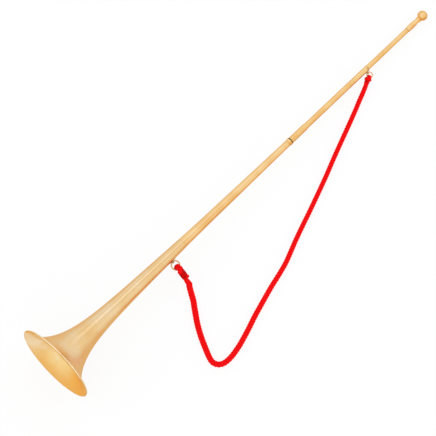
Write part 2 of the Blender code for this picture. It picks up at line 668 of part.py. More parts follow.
def make_cord(horn, parent):
    """Free stretch of the cord, from one doubled end over the floor to the other."""
    ends = []
    for end, pipe in ((LOWER, bell_outside), (UPPER, lead_radius)):
        fold, leave, wire = eye_frame(end, pipe, horn)
        tip = fold + leave * (end["leg_length"] + CORD_END_GAP)
        ends.append((tip + eye_side(end, leave, wire) * leg_half_gap(end), leave))
    (first, first_way), (last, last_way) = ends
    straight = CORD_STEP / 2
    route = [first + first_way * straight]
    route += [Vector(point) * MM for point in CORD_ROUTE]
    route += [last + last_way * straight]
    even, total = curve_through(route, CORD_STEP)
    even = [first] + even + [last]
    total += 2 * straight
    radii = [LOWER["leg_radius"]]
    for i in range(1, len(even) - 1):
        share = smooth(i / len(even) * 1.6)
        radii.append(CORD_LOWER_RADIUS + (CORD_UPPER_RADIUS - CORD_LOWER_RADIUS) * share)
    radii.append(UPPER["leg_radius"])
    cord_tube("cord", list(zip(even, radii)), parent)
    print("cord length in mm:", round(total / MM, 1))


def bell_outside(z):
    return bell_radius(z) + SHEET / 2


def lying_pose():
    """Turn the horn's axis so that the rim and the ball both touch the floor, rings to -Y."""
    rim_line = RIM_RADIUS - BEAD_RADIUS
    run = BALL_Z - BEAD_RADIUS
    lean = atan2(rim_line, run) - asin((BALL_RADIUS - BEAD_RADIUS) / hypot(run, rim_line))
    axis = Vector((cos(lean), 0, -sin(lean)))
    upright = Vector((sin(lean), 0, cos(lean)))
    ring_side = Vector((0, -cos(RING_TURN), 0)) - upright * sin(RING_TURN)
    turn = Matrix((ring_side, axis.cross(ring_side), axis)).transposed().to_4x4()
    height = BALL_RADIUS + BALL_Z * sin(lean)
    front = BEAD_RADIUS * cos(lean) - rim_line * sin(lean) - BEAD_RADIUS
    back = BALL_Z * cos(lean) + sqrt(BALL_RADIUS ** 2 - TIP_RADIUS ** 2) * cos(lean)
    back += TIP_RADIUS * sin(lean)
    return Matrix.Translation((-(front + back) / 2, 0, height)) @ turn


def empty(name, matrix):
    obj = bpy.data.objects.new(name, None)
    bpy.context.collection.objects.link(obj)
    obj.matrix_world = matrix
    return obj


def build():
    clear_scene()
    horn = lying_pose()
    axis = empty("horn_axis", horn)
    make_bell(axis)
    make_bell_tube(axis)
    make_slip_joint(axis)
    make_pipes(axis)
    make_reed(axis)
    make_mouthpiece(axis)
    make_foot("lower_ring_foot", LOWER, bell_outside, axis)
    make_foot("upper_ring_foot", UPPER, lead_radius, axis)
    for side, end, pipe, major in (("lower", LOWER, bell_outside, 28), ("upper", UPPER, lead_radius, 24)):
        pivot = empty(side + "_pivot", Matrix.Translation(ring_frame(end, pipe, horn)[2]))
        make_ring(side + "_ring", end, pipe, horn, pivot, major)
        make_eye(side + "_cord_eye", end, pipe, horn, pivot)
        make_whipping(side + "_whipping", end, pipe, horn, pivot)
        if side == "lower":
            make_cord(horn, pivot)


build()
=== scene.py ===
from math import atan2, asin, cos, exp, pi, radians, sin, sqrt

import bmesh
import bpy
import numpy as np
from mathutils import Matrix, Vector


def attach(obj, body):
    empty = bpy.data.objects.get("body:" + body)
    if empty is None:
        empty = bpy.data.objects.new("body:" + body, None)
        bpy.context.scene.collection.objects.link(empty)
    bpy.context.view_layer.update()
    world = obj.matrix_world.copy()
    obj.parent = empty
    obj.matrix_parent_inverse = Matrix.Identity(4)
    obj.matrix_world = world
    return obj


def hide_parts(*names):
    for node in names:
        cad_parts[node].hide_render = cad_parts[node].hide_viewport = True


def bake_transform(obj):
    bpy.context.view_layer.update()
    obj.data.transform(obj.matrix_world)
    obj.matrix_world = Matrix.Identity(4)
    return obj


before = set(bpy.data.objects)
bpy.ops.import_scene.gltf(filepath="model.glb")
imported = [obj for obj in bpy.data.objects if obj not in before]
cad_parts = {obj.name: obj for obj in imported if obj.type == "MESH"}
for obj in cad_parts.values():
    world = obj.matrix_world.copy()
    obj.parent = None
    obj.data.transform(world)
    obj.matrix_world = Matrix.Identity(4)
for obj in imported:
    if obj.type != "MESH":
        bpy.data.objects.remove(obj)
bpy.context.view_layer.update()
mm = 0.001
bpy.context.scene.view_settings.view_transform = "Standard"
print("frame loaded:", len(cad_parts), "nodes")


# camera: far away with a long lens, high over the ring side
shot = {
    "aim": (-43.613 * mm, -5.061 * mm, 20.141 * mm),
    "distance": 8.0,
    "elevation": radians(74.49),
    "heading": radians(45.389),  # image right turned from +X towards -Y
    "lens": 561.42,
    "sensor": 36,
    "clip": (0.1, 60),
}


def addCamera():
    cosE, sinE = cos(shot["elevation"]), sin(shot["elevation"])
    right = Vector((cos(shot["heading"]), -sin(shot["heading"]), 0))
    away = Vector((sin(shot["heading"]), cos(shot["heading"]), 0))
    back = Vector((0, 0, 1)) * sinE - away * cosE
    up = away * sinE + Vector((0, 0, 1)) * cosE
    lens = bpy.data.cameras.new("camera")
    lens.lens = shot["lens"]
    lens.sensor_width = shot["sensor"]
    lens.clip_start, lens.clip_end = shot["clip"]
    camera = bpy.data.objects.new("camera", lens)
    bpy.context.collection.objects.link(camera)
    turn = Matrix((right, up, back)).transposed().to_4x4()
    camera.matrix_world = Matrix.Translation(Vector(shot["aim"]) + back * shot["distance"]) @ turn
    bpy.context.scene.camera = camera


addCamera()
print("camera set")


# horn frame: local Z runs from the bell's front to the mouthpiece, local X points to the rings
hornPlace = {
    "front": (-309.184 * mm, 0, 51.46 * mm),
    "axis": (0.9972938, 0, -0.0735198),
    "ringTurn": radians(42),
    # the finishes' painted shade darkens towards this side
    "paintedShadeTurn": radians(15),  # local X of the finishes, below level on the ring side
}


def hornMatrix(drop):
    axis = Vector(hornPlace["axis"]).normalized()
    upright = Vector((-axis.z, 0, axis.x))
    ringSide = Vector((0, -cos(drop), 0)) - upright * sin(drop)
    turn = Matrix((ringSide, axis.cross(ringSide), axis)).transposed().to_4x4()
    return Matrix.Translation(hornPlace["front"]) @ turn


horn = hornMatrix(hornPlace["ringTurn"])
paintedShadeFrame = hornMatrix(hornPlace["paintedShadeTurn"])


def smoothStep(t):
    t = min(max(t, 0), 1)
    return t * t * (3 - 2 * t)


def meshPiece(name, bm, material, sharp=radians(38)):
    bmesh.ops.recalc_face_normals(bm, faces=bm.faces)
    mesh = bpy.data.meshes.new(name)
    bm.to_mesh(mesh)
    bm.free()
    mesh.shade_smooth()
    mesh.set_sharp_from_angle(angle=sharp)
    mesh.materials.append(material)
    piece = bpy.data.objects.new(name, mesh)
    bpy.context.collection.objects.link(piece)
    return piece


# faces from each ring of corners to the next one
def joinRings(bm, rings, following):
    for here, there in zip(rings, following):
        for k in range(len(here)):
            bm.faces.new((here[k - 1], here[k], there[k], there[k - 1]))


# a closed outline of (radius, z) in millimetres, turned about the horn's axis
def turnedPiece(name, outline, steps, material, body, *nodes):
    bm = bmesh.new()
    rings = []
    for i in range(steps):
        turn = 2 * pi * i / steps
        spots = [Vector((r * cos(turn), r * sin(turn), z)) for r, z in outline]
        rings.append([bm.verts.new(horn @ (spot * mm)) for spot in spots])
    joinRings(bm, rings, rings[1:] + rings[:1])
    piece = meshPiece(name, bm, material)
    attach(piece, body)
    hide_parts(*nodes)
    return piece


def sheetOutline(middle, thickness):
    left, right = [], []
    for i, point in enumerate(middle):
        before = Vector(middle[max(i - 1, 0)])
        after = Vector(middle[min(i + 1, len(middle) - 1)])
        normal = (after - before).orthogonal().normalized() * thickness / 2
        left.append(tuple(Vector(point) + normal))
        right.append(tuple(Vector(point) - normal))
    return left + right[::-1]


# short calls that make a finish and its nodes
def newFinish(name, metallic, roughness):
    material = bpy.data.materials.new(name)
    material.use_nodes = True
    tree = material.node_tree
    shader = tree.nodes["Principled BSDF"]
    shader.inputs["Metallic"].default_value = metallic
    shader.inputs["Roughness"].default_value = roughness
    return material, tree, shader


def addNode(tree, kind, **values):
    node = tree.nodes.new(kind)
    for key, value in values.items():
        if key in node.inputs:
            node.inputs[key].default_value = value
        else:
            setattr(node, key, value)
    return node


def addRamp(tree, source, stops):
    ramp = tree.nodes.new("ShaderNodeValToRGB")
    ramp.color_ramp.elements[0].position = stops[0][0]
    ramp.color_ramp.elements[0].color = (*stops[0][1], 1)
    ramp.color_ramp.elements[1].position = stops[-1][0]
    ramp.color_ramp.elements[1].color = (*stops[-1][1], 1)
    for place, colour in stops[1:-1]:
        ramp.color_ramp.elements.new(place).color = (*colour, 1)
    tree.links.new(source, ramp.inputs["Fac"])
    return ramp.outputs["Color"]


def addRange(tree, source, low, high, span=(0.3, 0.7)):
    node = addNode(tree, "ShaderNodeMapRange")
    node.inputs["From Min"].default_value = span[0]
    node.inputs["From Max"].default_value = span[1]
    node.inputs["To Min"].default_value = low
    node.inputs["To Max"].default_value = high
    tree.links.new(source, node.inputs["Value"])
    return node.outputs["Result"]


# numbers are set on the node, outputs of other nodes are linked to it
def addMath(tree, operation, *values):
    node = addNode(tree, "ShaderNodeMath", operation=operation)
    for socket, value in zip(node.inputs, values):
        if isinstance(value, (int, float)):
            socket.default_value = value
        else:
            tree.links.new(value, socket)
    return node.outputs["Value"]


def addNoise(tree, place, scale, detail, roughness=0.5):
    node = addNode(tree, "ShaderNodeTexNoise", Scale=scale, Detail=detail, Roughness=roughness)
    tree.links.new(place, node.inputs["Vector"])
    return node.outputs["Fac"]


def addBump(tree, shader, height, strength, distance):
    node = addNode(tree, "ShaderNodeBump", Strength=strength, Distance=distance)
    tree.links.new(height, node.inputs["Height"])
    tree.links.new(node.outputs["Normal"], shader.inputs["Normal"])


# lacquered brass: cloudy colour, darker towards the ring side as painted shade, satin gloss, fine
# tool lines
brassLooks = {
    "drawn": {"tones": [(0.32, (0.86, 0.5, 0.17)), (0.62, (0.95, 0.67, 0.325))], "lean": 0.1,
              "gloss": (0.11, 0.17), "dull": 0,
              "lines": (900, 900, 9), "lineHeight": 0.00002, "lineStrength": 0.12},
    "pipe": {"tones": [(0.32, (0.85, 0.485, 0.15)), (0.62, (0.935, 0.64, 0.285))], "lean": 0.1,
             "gloss": (0.1, 0.16), "dull": 0,
             "lines": (900, 900, 9), "lineHeight": 0.00002, "lineStrength": 0.12},
    "spun": {"tones": [(0.32, (0.83, 0.5, 0.185)), (0.56, (0.875, 0.61, 0.3)),
                       (0.72, (0.875, 0.665, 0.4))], "lean": 0.1,
             "gloss": (0.11, 0.17), "dull": 0.18,
             "lines": (12, 12, 1600), "lineHeight": 0.00002, "lineStrength": 0.025},
    # inside of the bell: warm lacquer with painted reflections, deep orange towards the ring side,
    # and a painted pale highlight away from it
    "mouth": {"tones": [(0.22, (1, 0.6, 0.165)), (0.45, (0.965, 0.635, 0.225)),
                        (0.66, (0.96, 0.705, 0.32)), (0.84, (1, 0.94, 0.77))], "lean": 0.27,
              "gloss": (0.36, 0.46), "dull": 0,
              "lines": (12, 12, 1600), "lineHeight": 0.00002, "lineStrength": 0.05},
    # painted highlight: a pale cream band on the rolled rim
    "lip": {"tones": [(0.32, (0.92, 0.7, 0.4)), (0.62, (0.98, 0.84, 0.58))], "lean": 0.1,
            "gloss": (0.15, 0.25), "dull": 0,
            "lines": (12, 12, 1600), "lineHeight": 0.00001, "lineStrength": 0.05},
    # painted shade: a darker orange band on the front of the roll
    "edge": {"tones": [(0.32, (0.74, 0.43, 0.13)), (0.62, (0.86, 0.55, 0.2))], "lean": 0.1,
             "gloss": (0.2, 0.3), "dull": 0,
             "lines": (12, 12, 1600), "lineHeight": 0.00001, "lineStrength": 0.05},
    "cast": {"tones": [(0.32, (0.82, 0.42, 0.1)), (0.62, (0.96, 0.67, 0.31))], "lean": 0.12,
             "cloud": 110, "gloss": (0.07, 0.14), "dull": 0,
             "lines": (60, 60, 900), "lineHeight": 0.00001, "lineStrength": 0.12},
    "wire": {"tones": [(0.32, (0.62, 0.4, 0.16)), (0.62, (0.9, 0.63, 0.29))], "lean": 0,
             "gloss": (0.22, 0.34), "dull": 0,
             "lines": (700, 700, 700), "lineHeight": 0.00002, "lineStrength": 0.3},
    "solder": {"tones": [(0.32, (0.42, 0.25, 0.11)), (0.62, (0.7, 0.45, 0.2))], "lean": 0,
               "gloss": (0.3, 0.5), "dull": 0,
               "lines": (500, 500, 500), "lineHeight": 0.00005, "lineStrength": 0.4},
    # painted shade: dark brown for the crease behind the roll and the bands at the slip joint
    "paintedShade": {"tones": [(0.32, (0.15, 0.065, 0.025)), (0.62, (0.38, 0.18, 0.075))], "lean": 0,
                "gloss": (0.35, 0.5), "dull": 0,
                "lines": (500, 500, 500), "lineHeight": 0.00003, "lineStrength": 0.3},
}
# shared by them: noises per metre, and where on the axis the dull flare fades out
brassGrain = {"tint": (0.95, 0.78, 0.55, 1), "cloud": 26, "grain": 420, "mottle": 0.02, "smear": 90,
              "flare": (0.02, 0.15)}


def brassFinish(name):
    look = brassLooks[name]
    material, tree, shader = newFinish(name + "Brass", 1, 0.3)
    shader.inputs["Specular Tint"].default_value = brassGrain["tint"]  # warmer at the edges
    link = tree.links.new
    onHorn = addNode(tree, "ShaderNodeMapping", vector_type="TEXTURE",
                     Location=paintedShadeFrame.to_translation(), Rotation=paintedShadeFrame.to_euler())
    link(addNode(tree, "ShaderNodeTexCoord").outputs["Object"], onHorn.inputs["Vector"])
    place = onHorn.outputs["Vector"]
    level = addNode(tree, "ShaderNodeVectorMath", operation="MULTIPLY")
    level.inputs[1].default_value = (1, 1, 0)
    link(place, level.inputs[0])
    around = addNode(tree, "ShaderNodeVectorMath", operation="NORMALIZE")
    link(level.outputs["Vector"], around.inputs[0])
    across = addNode(tree, "ShaderNodeSeparateXYZ")
    link(around.outputs["Vector"], across.inputs["Vector"])
    along = addNode(tree, "ShaderNodeSeparateXYZ")
    link(place, along.inputs["Vector"])
    flare = addRange(tree, along.outputs["Z"], look["dull"], 0, brassGrain["flare"])
    cloud = addNoise(tree, place, look.get("cloud", brassGrain["cloud"]), 4, 0.55)
    # painted shade: the colour darkens towards the ring side
    lean = addMath(tree, "MULTIPLY_ADD", across.outputs["X"], -look["lean"], cloud)
    grain = addNoise(tree, place, brassGrain["grain"], 2)
    spread = brassGrain["mottle"]
    mottle = addMath(tree, "ADD", lean, addRange(tree, grain, -spread, spread))
    lighter = addMath(tree, "ADD", mottle, flare)
    link(addRamp(tree, lighter, look["tones"]), shader.inputs["Base Color"])
    smear = addNoise(tree, place, brassGrain["smear"], 5, 0.6)
    gloss = addRange(tree, smear, *look["gloss"])
    link(addMath(tree, "ADD", gloss, flare), shader.inputs["Roughness"])
    stretch = addNode(tree, "ShaderNodeMapping", Scale=look["lines"])
    link(place, stretch.inputs["Vector"])
    lines = addNoise(tree, stretch.outputs["Vector"], 1, 3, 0.6)
    addBump(tree, shader, lines, look["lineStrength"], look["lineHeight"])
    return material


# soft red yarn: painted shade between the strands, lighter backs as painted light, fine fibres
# along them
braidLook = {
    "tones": [(0.2, (0.5, 0.002, 0.003)), (0.6, (0.96, 0.002, 0.003)), (1.1, (1, 0.008, 0.01))],
    "fibres": 1500, "fibreShare": 0.3, "yarnHeight": 0.00012,
    "sheen": 0.08, "sheenTint": (1, 0.2, 0.18, 1), "shine": 0.03,
}


def braidFinish():
    look = braidLook
    material, tree, shader = newFinish("redBraid", 0, 0.75)
    shader.inputs["Sheen Weight"].default_value = look["sheen"]
    shader.inputs["Sheen Roughness"].default_value = 0.5
    shader.inputs["Sheen Tint"].default_value = look["sheenTint"]
    shader.inputs["Specular IOR Level"].default_value = look["shine"]
    plaitShade = addNode(tree, "ShaderNodeAttribute", attribute_name="plaitShade").outputs["Fac"]
    yarn = addNode(tree, "ShaderNodeAttribute", attribute_name="yarn").outputs["Fac"]
    fibre = addNoise(tree, addNode(tree, "ShaderNodeTexCoord").outputs["Object"], look["fibres"], 3)
    full = 1 + look["fibreShare"]
    # painted shade in the plait's hollows, painted light on the strands' backs
    shade = addMath(tree, "MULTIPLY_ADD", fibre, look["fibreShare"], plaitShade)
    stops = [(at / full, colour) for at, colour in look["tones"]]
    colour = addRamp(tree, addMath(tree, "DIVIDE", shade, full), stops)
    tree.links.new(colour, shader.inputs["Base Color"])
    rough = addMath(tree, "ADD", addMath(tree, "SINE", yarn), fibre)
    addBump(tree, shader, rough, 0.5, look["yarnHeight"])
    return material


threadLook = {
    "tones": [(0.34, (0.36, 0.002, 0.002)), (0.52, (0.66, 0.003, 0.003)),
              (0.66, (1, 0.006, 0.006))],
    "fibres": 800, "fibreHeight": 0.0001,
    "sheen": 0.05, "sheenTint": (1, 0.2, 0.2, 1), "shine": 0.03,
}


def threadFinish():
    look = threadLook
    material, tree, shader = newFinish("darkThread", 0, 0.7)
    shader.inputs["Sheen Weight"].default_value = look["sheen"]
    shader.inputs["Sheen Tint"].default_value = look["sheenTint"]
    shader.inputs["Specular IOR Level"].default_value = look["shine"]
    fibre = addNoise(tree, addNode(tree, "ShaderNodeTexCoord").outputs["Object"], look["fibres"], 4)
    tree.links.new(addRamp(tree, fibre, look["tones"]), shader.inputs["Base Color"])
    addBump(tree, shader, fibre, 0.5, look["fibreHeight"])
    return material


steelLook = {"tones": [(0.3, (0.45, 0.45, 0.46)), (0.7, (0.66, 0.66, 0.67))], "grain": 900,
             "gloss": (0.25, 0.45)}


def steelFinish():
    material, tree, shader = newFinish("reedSteel", 1, 0.3)
    place = addNode(tree, "ShaderNodeTexCoord").outputs["Object"]
    grain = addNoise(tree, place, steelLook["grain"], 3)
    tree.links.new(addRamp(tree, grain, steelLook["tones"]), shader.inputs["Base Color"])
    tree.links.new(addRange(tree, grain, *steelLook["gloss"]), shader.inputs["Roughness"])
    return material


drawnBrass = brassFinish("drawn")
pipeBrass = brassFinish("pipe")
spunBrass = brassFinish("spun")
mouthReflectionBrass = brassFinish("mouth")
rollHighlightBrass = brassFinish("lip")
rollShadeBrass = brassFinish("edge")
castBrass = brassFinish("cast")
wireBrass = brassFinish("wire")
solderBrass = brassFinish("solder")
paintedShadeBrass = brassFinish("paintedShade")
redBraid = braidFinish()
darkThread = threadFinish()
reedSteel = steelFinish()
print("finishes ready")


# rings hang in knuckles on the horn's side, the cord's doubled ends fold round them
ringHang = {
    "drop": radians(-17), "fit": 0.2, "foldPlay": 0.45, "tailStraight": 1,
    "legSteps": 40, "foldSteps": 17, "bendSteps": 20, "swellPower": 0.7, "tipRound": 0.9,
}
lowerEnd = {
    "name": "lower", "body": "sling", "pivot": (9.275, 189), "ring": 5.3, "wire": 0.8,
    "wrap": radians(-3.5), "cordDrop": 0, "foldWidth": 3.5, "foldThick": 2.2,
    "bulge": 0.8, "leg": 2.7, "grow": 0.6, "legLength": 20, "tailShort": 0.5, "splay": 1.4,
    "twist": radians(-42), "neck": 3.7, "whipStart": 4.5, "whipLength": 9.5, "thread": 0.27,
}
upperEnd = {
    "name": "upper", "body": "sling_upper_end", "pivot": (5.3935, 521), "ring": 3.6, "wire": 0.65,
    "wrap": radians(64), "cordDrop": radians(-15), "foldWidth": 2.4, "foldThick": 1.4,
    "bulge": 1.5, "leg": 2.6, "grow": 0.2, "legLength": 13.5, "tailShort": 4, "splay": 0,
    "twist": radians(-13), "neck": 3.6, "whipStart": 3.9, "whipLength": 2.7, "thread": 0.25,
}


def ringPlace(end):
    along = horn.to_3x3() @ Vector((0, 0, 1))
    outward = horn.to_3x3() @ Vector((cos(ringHang["drop"]), sin(ringHang["drop"]), 0))
    pivot = horn @ Vector((end["pivot"][0] * mm, 0, end["pivot"][1] * mm))
    return along, outward, pivot + outward * end["ring"] * mm


def eyePlace(end):
    along, outward, middle = ringPlace(end)
    radial = outward * cos(end["wrap"]) - along * sin(end["wrap"])
    wire = along * cos(end["wrap"]) + outward * sin(end["wrap"])
    leave = Matrix.Rotation(end["cordDrop"] - ringHang["drop"], 3, wire) @ radial
    across = leave.cross(wire)
    side = across * cos(end["twist"]) + wire * sin(end["twist"])
    return middle + radial * end["ring"] * mm, leave, wire, across, side


# cord: a round plait of four strands each way
plait = {
    "strands": 4, "pitch": 14.4, "depth": 0.2, "foldDepth": 0.13, "around": 64, "step": 0.32,
    "round": 0.92, "weave": 0.45, "bottom": 0.35, "span": 1.1, "mean": 0.7,
    "yarns": 3, "yarnSlant": 1.5, "dome": 0.2, "tipShade": 0.4,
}
cordRun = {
    "lowerRadius": 3.66, "upperRadius": 2.86, "taper": 1.3, "straight": 4, "gap": 0.3, "ease": 9,
    "lift": 1.05, "curveSteps": 24,
    # middle of the cord on the floor in millimetres, from the lower ring to the upper ring
    "route": [
        (-124.1, -37.1, 10.4), (-128.2, -44.3, 6.3), (-133, -52.6, 5.5), (-138.1, -59.6, 3.5),
        (-143.3, -66.8, 3.2), (-148.8, -74.6, 3.2), (-153.8, -82.9, 3.2), (-158.4, -91.5, 3.2),
        (-162.2, -99.7, 3.2), (-165.7, -107.5, 3.15), (-168.6, -114.9, 3.1), (-169.6, -120.9, 3.1),
        (-167.6, -126.3, 3.05), (-163.1, -130, 3), (-157.3, -131.5, 3), (-149.2, -131.5, 2.95),
        (-139.8, -130.1, 2.9), (-130.3, -128, 2.9), (-111.9, -122.4, 2.85), (-93.6, -116.2, 2.8),
        (-75.1, -110.8, 2.8), (-56.3, -105.5, 2.75), (-38.4, -101.2, 2.75), (-23.8, -97.2, 2.7),
        (-9.9, -91.9, 2.7), (3.8, -86.4, 2.65), (21.9, -79.8, 2.65), (40.3, -73.4, 2.6),
        (63.1, -65.1, 2.6), (86.1, -56.5, 2.55), (108.8, -47.4, 2.55), (131.8, -38.6, 2.5),
        (150.3, -31.6, 2.5), (168, -24.7, 2.55), (181, -19.4, 3.4)],
}


# dense points, in millimetres, on a smooth curve through the route's points
def curveThrough(points):
    dense = []
    last = len(points) - 1
    for i in range(last):
        before, start = points[max(i - 1, 0)], points[i]
        end, after = points[i + 1], points[min(i + 2, last)]
        size = (end - start).length
        lead = (end - before).normalized() * size
        trail = (after - start).normalized() * size
        for j in range(cordRun["curveSteps"]):
            t = j / cordRun["curveSteps"]
            h = smoothStep(t)
            dense.append(start * (1 - h) + end * h + lead * (t ** 3 - 2 * t ** 2 + t)
                         + trail * (t ** 3 - t ** 2))
    dense.append(points[-1])
    return dense


# even samples of a path of points and of values that go with them
def evenSamples(points, values, step):
    points = np.array([list(p) for p in points], float)
    values = np.array(values, float)
    run = np.concatenate([[0], np.cumsum(np.linalg.norm(np.diff(points, axis=0), axis=1))])
    at = np.linspace(0, run[-1], max(int(run[-1] / step), 4) + 1)
    place = np.stack([np.interp(at, run, points[:, k]) for k in range(3)], 1)
    sampled = np.stack([np.interp(at, run, values[:, k]) for k in range(values.shape[1])], 1)
    return place, sampled, at


def wayAlong(place):
    way = np.gradient(place, axis=0)
    return way / np.linalg.norm(way, axis=1)[:, None]


# side directions that turn as little as possible along the path
def steadySides(way, first):
    sides = []
    side = np.array(first, float)
    for direction in way:
        side = side - direction * (side @ direction)
        side = side / np.linalg.norm(side)
        sides.append(side)
    return np.array(sides)


# height of the plait, 0 in the hollows to 1 on the backs, and the phase of the yarns in a strand
def plaitHeight(turn, run):
    count = plait["strands"]
    u = count * turn / (2 * pi) - count * run / plait["pitch"]
    v = count * turn / (2 * pi) + count * run / plait["pitch"]
    roundU = np.sqrt(1 - plait["round"] * (2 * (u % 1) - 1) ** 2)
    roundV = np.sqrt(1 - plait["round"] * (2 * (v % 1) - 1) ** 2)
    highU = roundU + plait["weave"] * np.cos(pi * (v - 0.5 + np.floor(u)))
    highV = roundV - plait["weave"] * np.cos(pi * (u - 0.5 + np.floor(v)))
    height = np.clip((np.maximum(highU, highV) - plait["bottom"]) / plait["span"], 0, 1)
    yarnU = 2 * pi * (plait["yarns"] * (u % 1) + plait["yarnSlant"] * v)
    yarnV = 2 * pi * (plait["yarns"] * (v % 1) + plait["yarnSlant"] * u)
    yarn = np.where(highU > highV, yarnU, yarnV)
    return height, yarn


# plaited tube in millimetres: flat is the side in which width is measured
def plaitedPiece(name, place, way, flat, width, thick, run, depth):
    around = plait["around"]
    turn = np.linspace(0, 2 * pi, around, endpoint=False)
    out = np.cross(way, flat)
    height, yarn = plaitHeight(turn[None, :], run[:, None])
    scale = 1 + depth * (height - plait["mean"])  # the strands' mean keeps the given size
    ring = (flat[:, None, :] * (np.cos(turn)[None, :] * scale * width[:, None])[:, :, None]
            + out[:, None, :] * (np.sin(turn)[None, :] * scale * thick[:, None])[:, :, None])
    points = (place[:, None, :] + ring).reshape(-1, 3) * mm
    count = len(place)
    low = np.arange(count - 1)[:, None] * around + np.arange(around)[None, :]
    over = np.arange(count - 1)[:, None] * around + (np.arange(around) + 1)[None, :] % around
    faces = np.stack([low, over, over + around, low + around], 2).reshape(-1, 4).tolist()
    points = points.tolist()
    plaitShade, yarn = height.reshape(-1).tolist(), yarn.reshape(-1).tolist()
    for first, sign in ((0, -1), ((count - 1) * around, 1)):
        at = 0 if sign < 0 else -1
        tip = place[at] + way[at] * sign * plait["dome"]
        points.append((tip * mm).tolist())
        plaitShade.append(plait["tipShade"])
        yarn.append(0)
        for i in range(around):
            pair = [first + i, first + (i + 1) % around]
            faces.append([*(pair[::-1] if sign < 0 else pair), len(points) - 1])
    mesh = bpy.data.meshes.new(name)
    mesh.from_pydata(points, [], faces)
    for key, values in (("plaitShade", plaitShade), ("yarn", yarn)):
        mesh.attributes.new(key, "FLOAT", "POINT").data.foreach_set("value", values)
    mesh.shade_smooth()
    mesh.materials.append(redBraid)
    piece = bpy.data.objects.new(name, mesh)
    bpy.context.collection.objects.link(piece)
    return piece


# radius of the fold's middle, clear of the ring's wire across its whole width
def foldBend(end):
    width, thick, ring = end["foldWidth"], end["foldThick"], end["ring"]
    runs = [width * i / ringHang["bendSteps"] for i in range(ringHang["bendSteps"])]
    reach = max(thick * sqrt(1 - (r / width) ** 2) + ring - sqrt(ring ** 2 - r ** 2) for r in runs)
    return end["wire"] + reach + ringHang["foldPlay"]


# doubled end: cut tail, flattened fold round the ring, main leg
def addEye(end):
    fold, leave, wire, across, side = eyePlace(end)
    fold = fold / mm
    bend = foldBend(end)
    gap = end["leg"] + ringHang["fit"] / 2
    spread = end["whipStart"] + end["whipLength"] + ringHang["tailStraight"]
    tailEnd = end["legLength"] - end["tailShort"]
    splay = wire * end["splay"]

    def leg(run, sign):
        share = smoothStep(run / end["neck"])
        middle = fold + leave * run + (across * bend * (1 - share) + side * gap * share) * sign
        if sign < 0:
            middle += splay * smoothStep((run - spread) / (tailEnd - spread))
        width = end["foldWidth"] + (end["leg"] - end["foldWidth"]) * share
        thick = end["foldThick"] + (end["leg"] - end["foldThick"]) * share
        swell = end["bulge"] * sin(pi * min(run / end["whipStart"], 1)) ** ringHang["swellPower"]
        grow = end["grow"] * smoothStep((run - spread) / (end["legLength"] - spread)) * max(sign, 0)
        return middle + side * grow, (width + swell + grow, thick + grow, sign)

    foldSize = (end["foldWidth"], end["foldThick"], 0)
    path = [leg(run, -1) for run in np.linspace(0, tailEnd, ringHang["legSteps"])[:0:-1]]
    path += [(fold - leave * bend * sin(turn) - across * bend * cos(turn), foldSize)
             for turn in np.linspace(0, pi, ringHang["foldSteps"])]
    mainEnd = end["legLength"] + cordRun["gap"]
    path += [leg(run, 1) for run in np.linspace(0, mainEnd, ringHang["legSteps"])[1:]]
    place, sizes, run = evenSamples([p for p, _ in path], [s for _, s in path], plait["step"])
    way = wayAlong(place)
    square = sizes[:, 2:3]  # 0 in the fold, 1 or -1 along the legs, whose sections don't tilt
    way = way * (1 - abs(square)) + np.array(leave)[None, :] * square
    way = way / np.linalg.norm(way, axis=1)[:, None]
    flat = np.array(wire)[None, :] - way * (way @ np.array(wire))[:, None]
    flat = flat / np.linalg.norm(flat, axis=1)[:, None]
    fromTip = np.minimum(run / end["leg"], 1)
    tip = np.sqrt(1 - ringHang["tipRound"] * (1 - fromTip) ** 2)  # the tail's end is round
    width, thick = sizes[:, 0] * tip, sizes[:, 1] * tip
    eye = plaitedPiece(end["name"] + "Eye", place, way, flat, width, thick, run,
                       plait["foldDepth"])
    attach(eye, end["body"])
    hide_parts(end["name"] + "_cord_eye")
    return eye


# thread wound round both legs, one unbroken tube in even turns
winding = {"steps": 28, "sides": 8, "pitch": 2.05, "bed": 0.8, "flat": 1.6}


def addWhipping(end):
    fold, leave, _, _, side = eyePlace(end)
    up = leave.cross(side)
    gap = end["leg"] + ringHang["fit"] / 2
    thread, steps, sides = end["thread"], winding["steps"], winding["sides"]
    turns = int(end["whipLength"] / (winding["pitch"] * thread))
    reach = end["leg"] + thread * winding["bed"]
    points = []
    for i in range(turns * steps + 1):
        turn = 2 * pi * i / steps
        run = end["whipStart"] + thread + (end["whipLength"] - 2 * thread) * i / (turns * steps)
        shift = gap * min(max(winding["flat"] * cos(turn), -1), 1)
        middle = fold / mm + leave * run
        points.append(middle + side * (shift + reach * cos(turn)) + up * reach * sin(turn))
    place = np.array([list(point) for point in points])
    way = wayAlong(place)
    flat = steadySides(way, leave)
    out = np.cross(way, flat)
    corners = [2 * pi * k / sides for k in range(sides)]
    bm = bmesh.new()
    rings = []
    for i in range(len(place)):
        spots = [place[i] + thread * (flat[i] * cos(c) + out[i] * sin(c)) for c in corners]
        rings.append([bm.verts.new(spot * mm) for spot in spots])
    joinRings(bm, rings, rings[1:])
    bm.faces.new(rings[0])
    bm.faces.new(rings[-1])
    whipping = meshPiece(end["name"] + "Whipping", bm, darkThread)
    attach(whipping, end["body"])
    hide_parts(end["name"] + "_whipping")
    return whipping


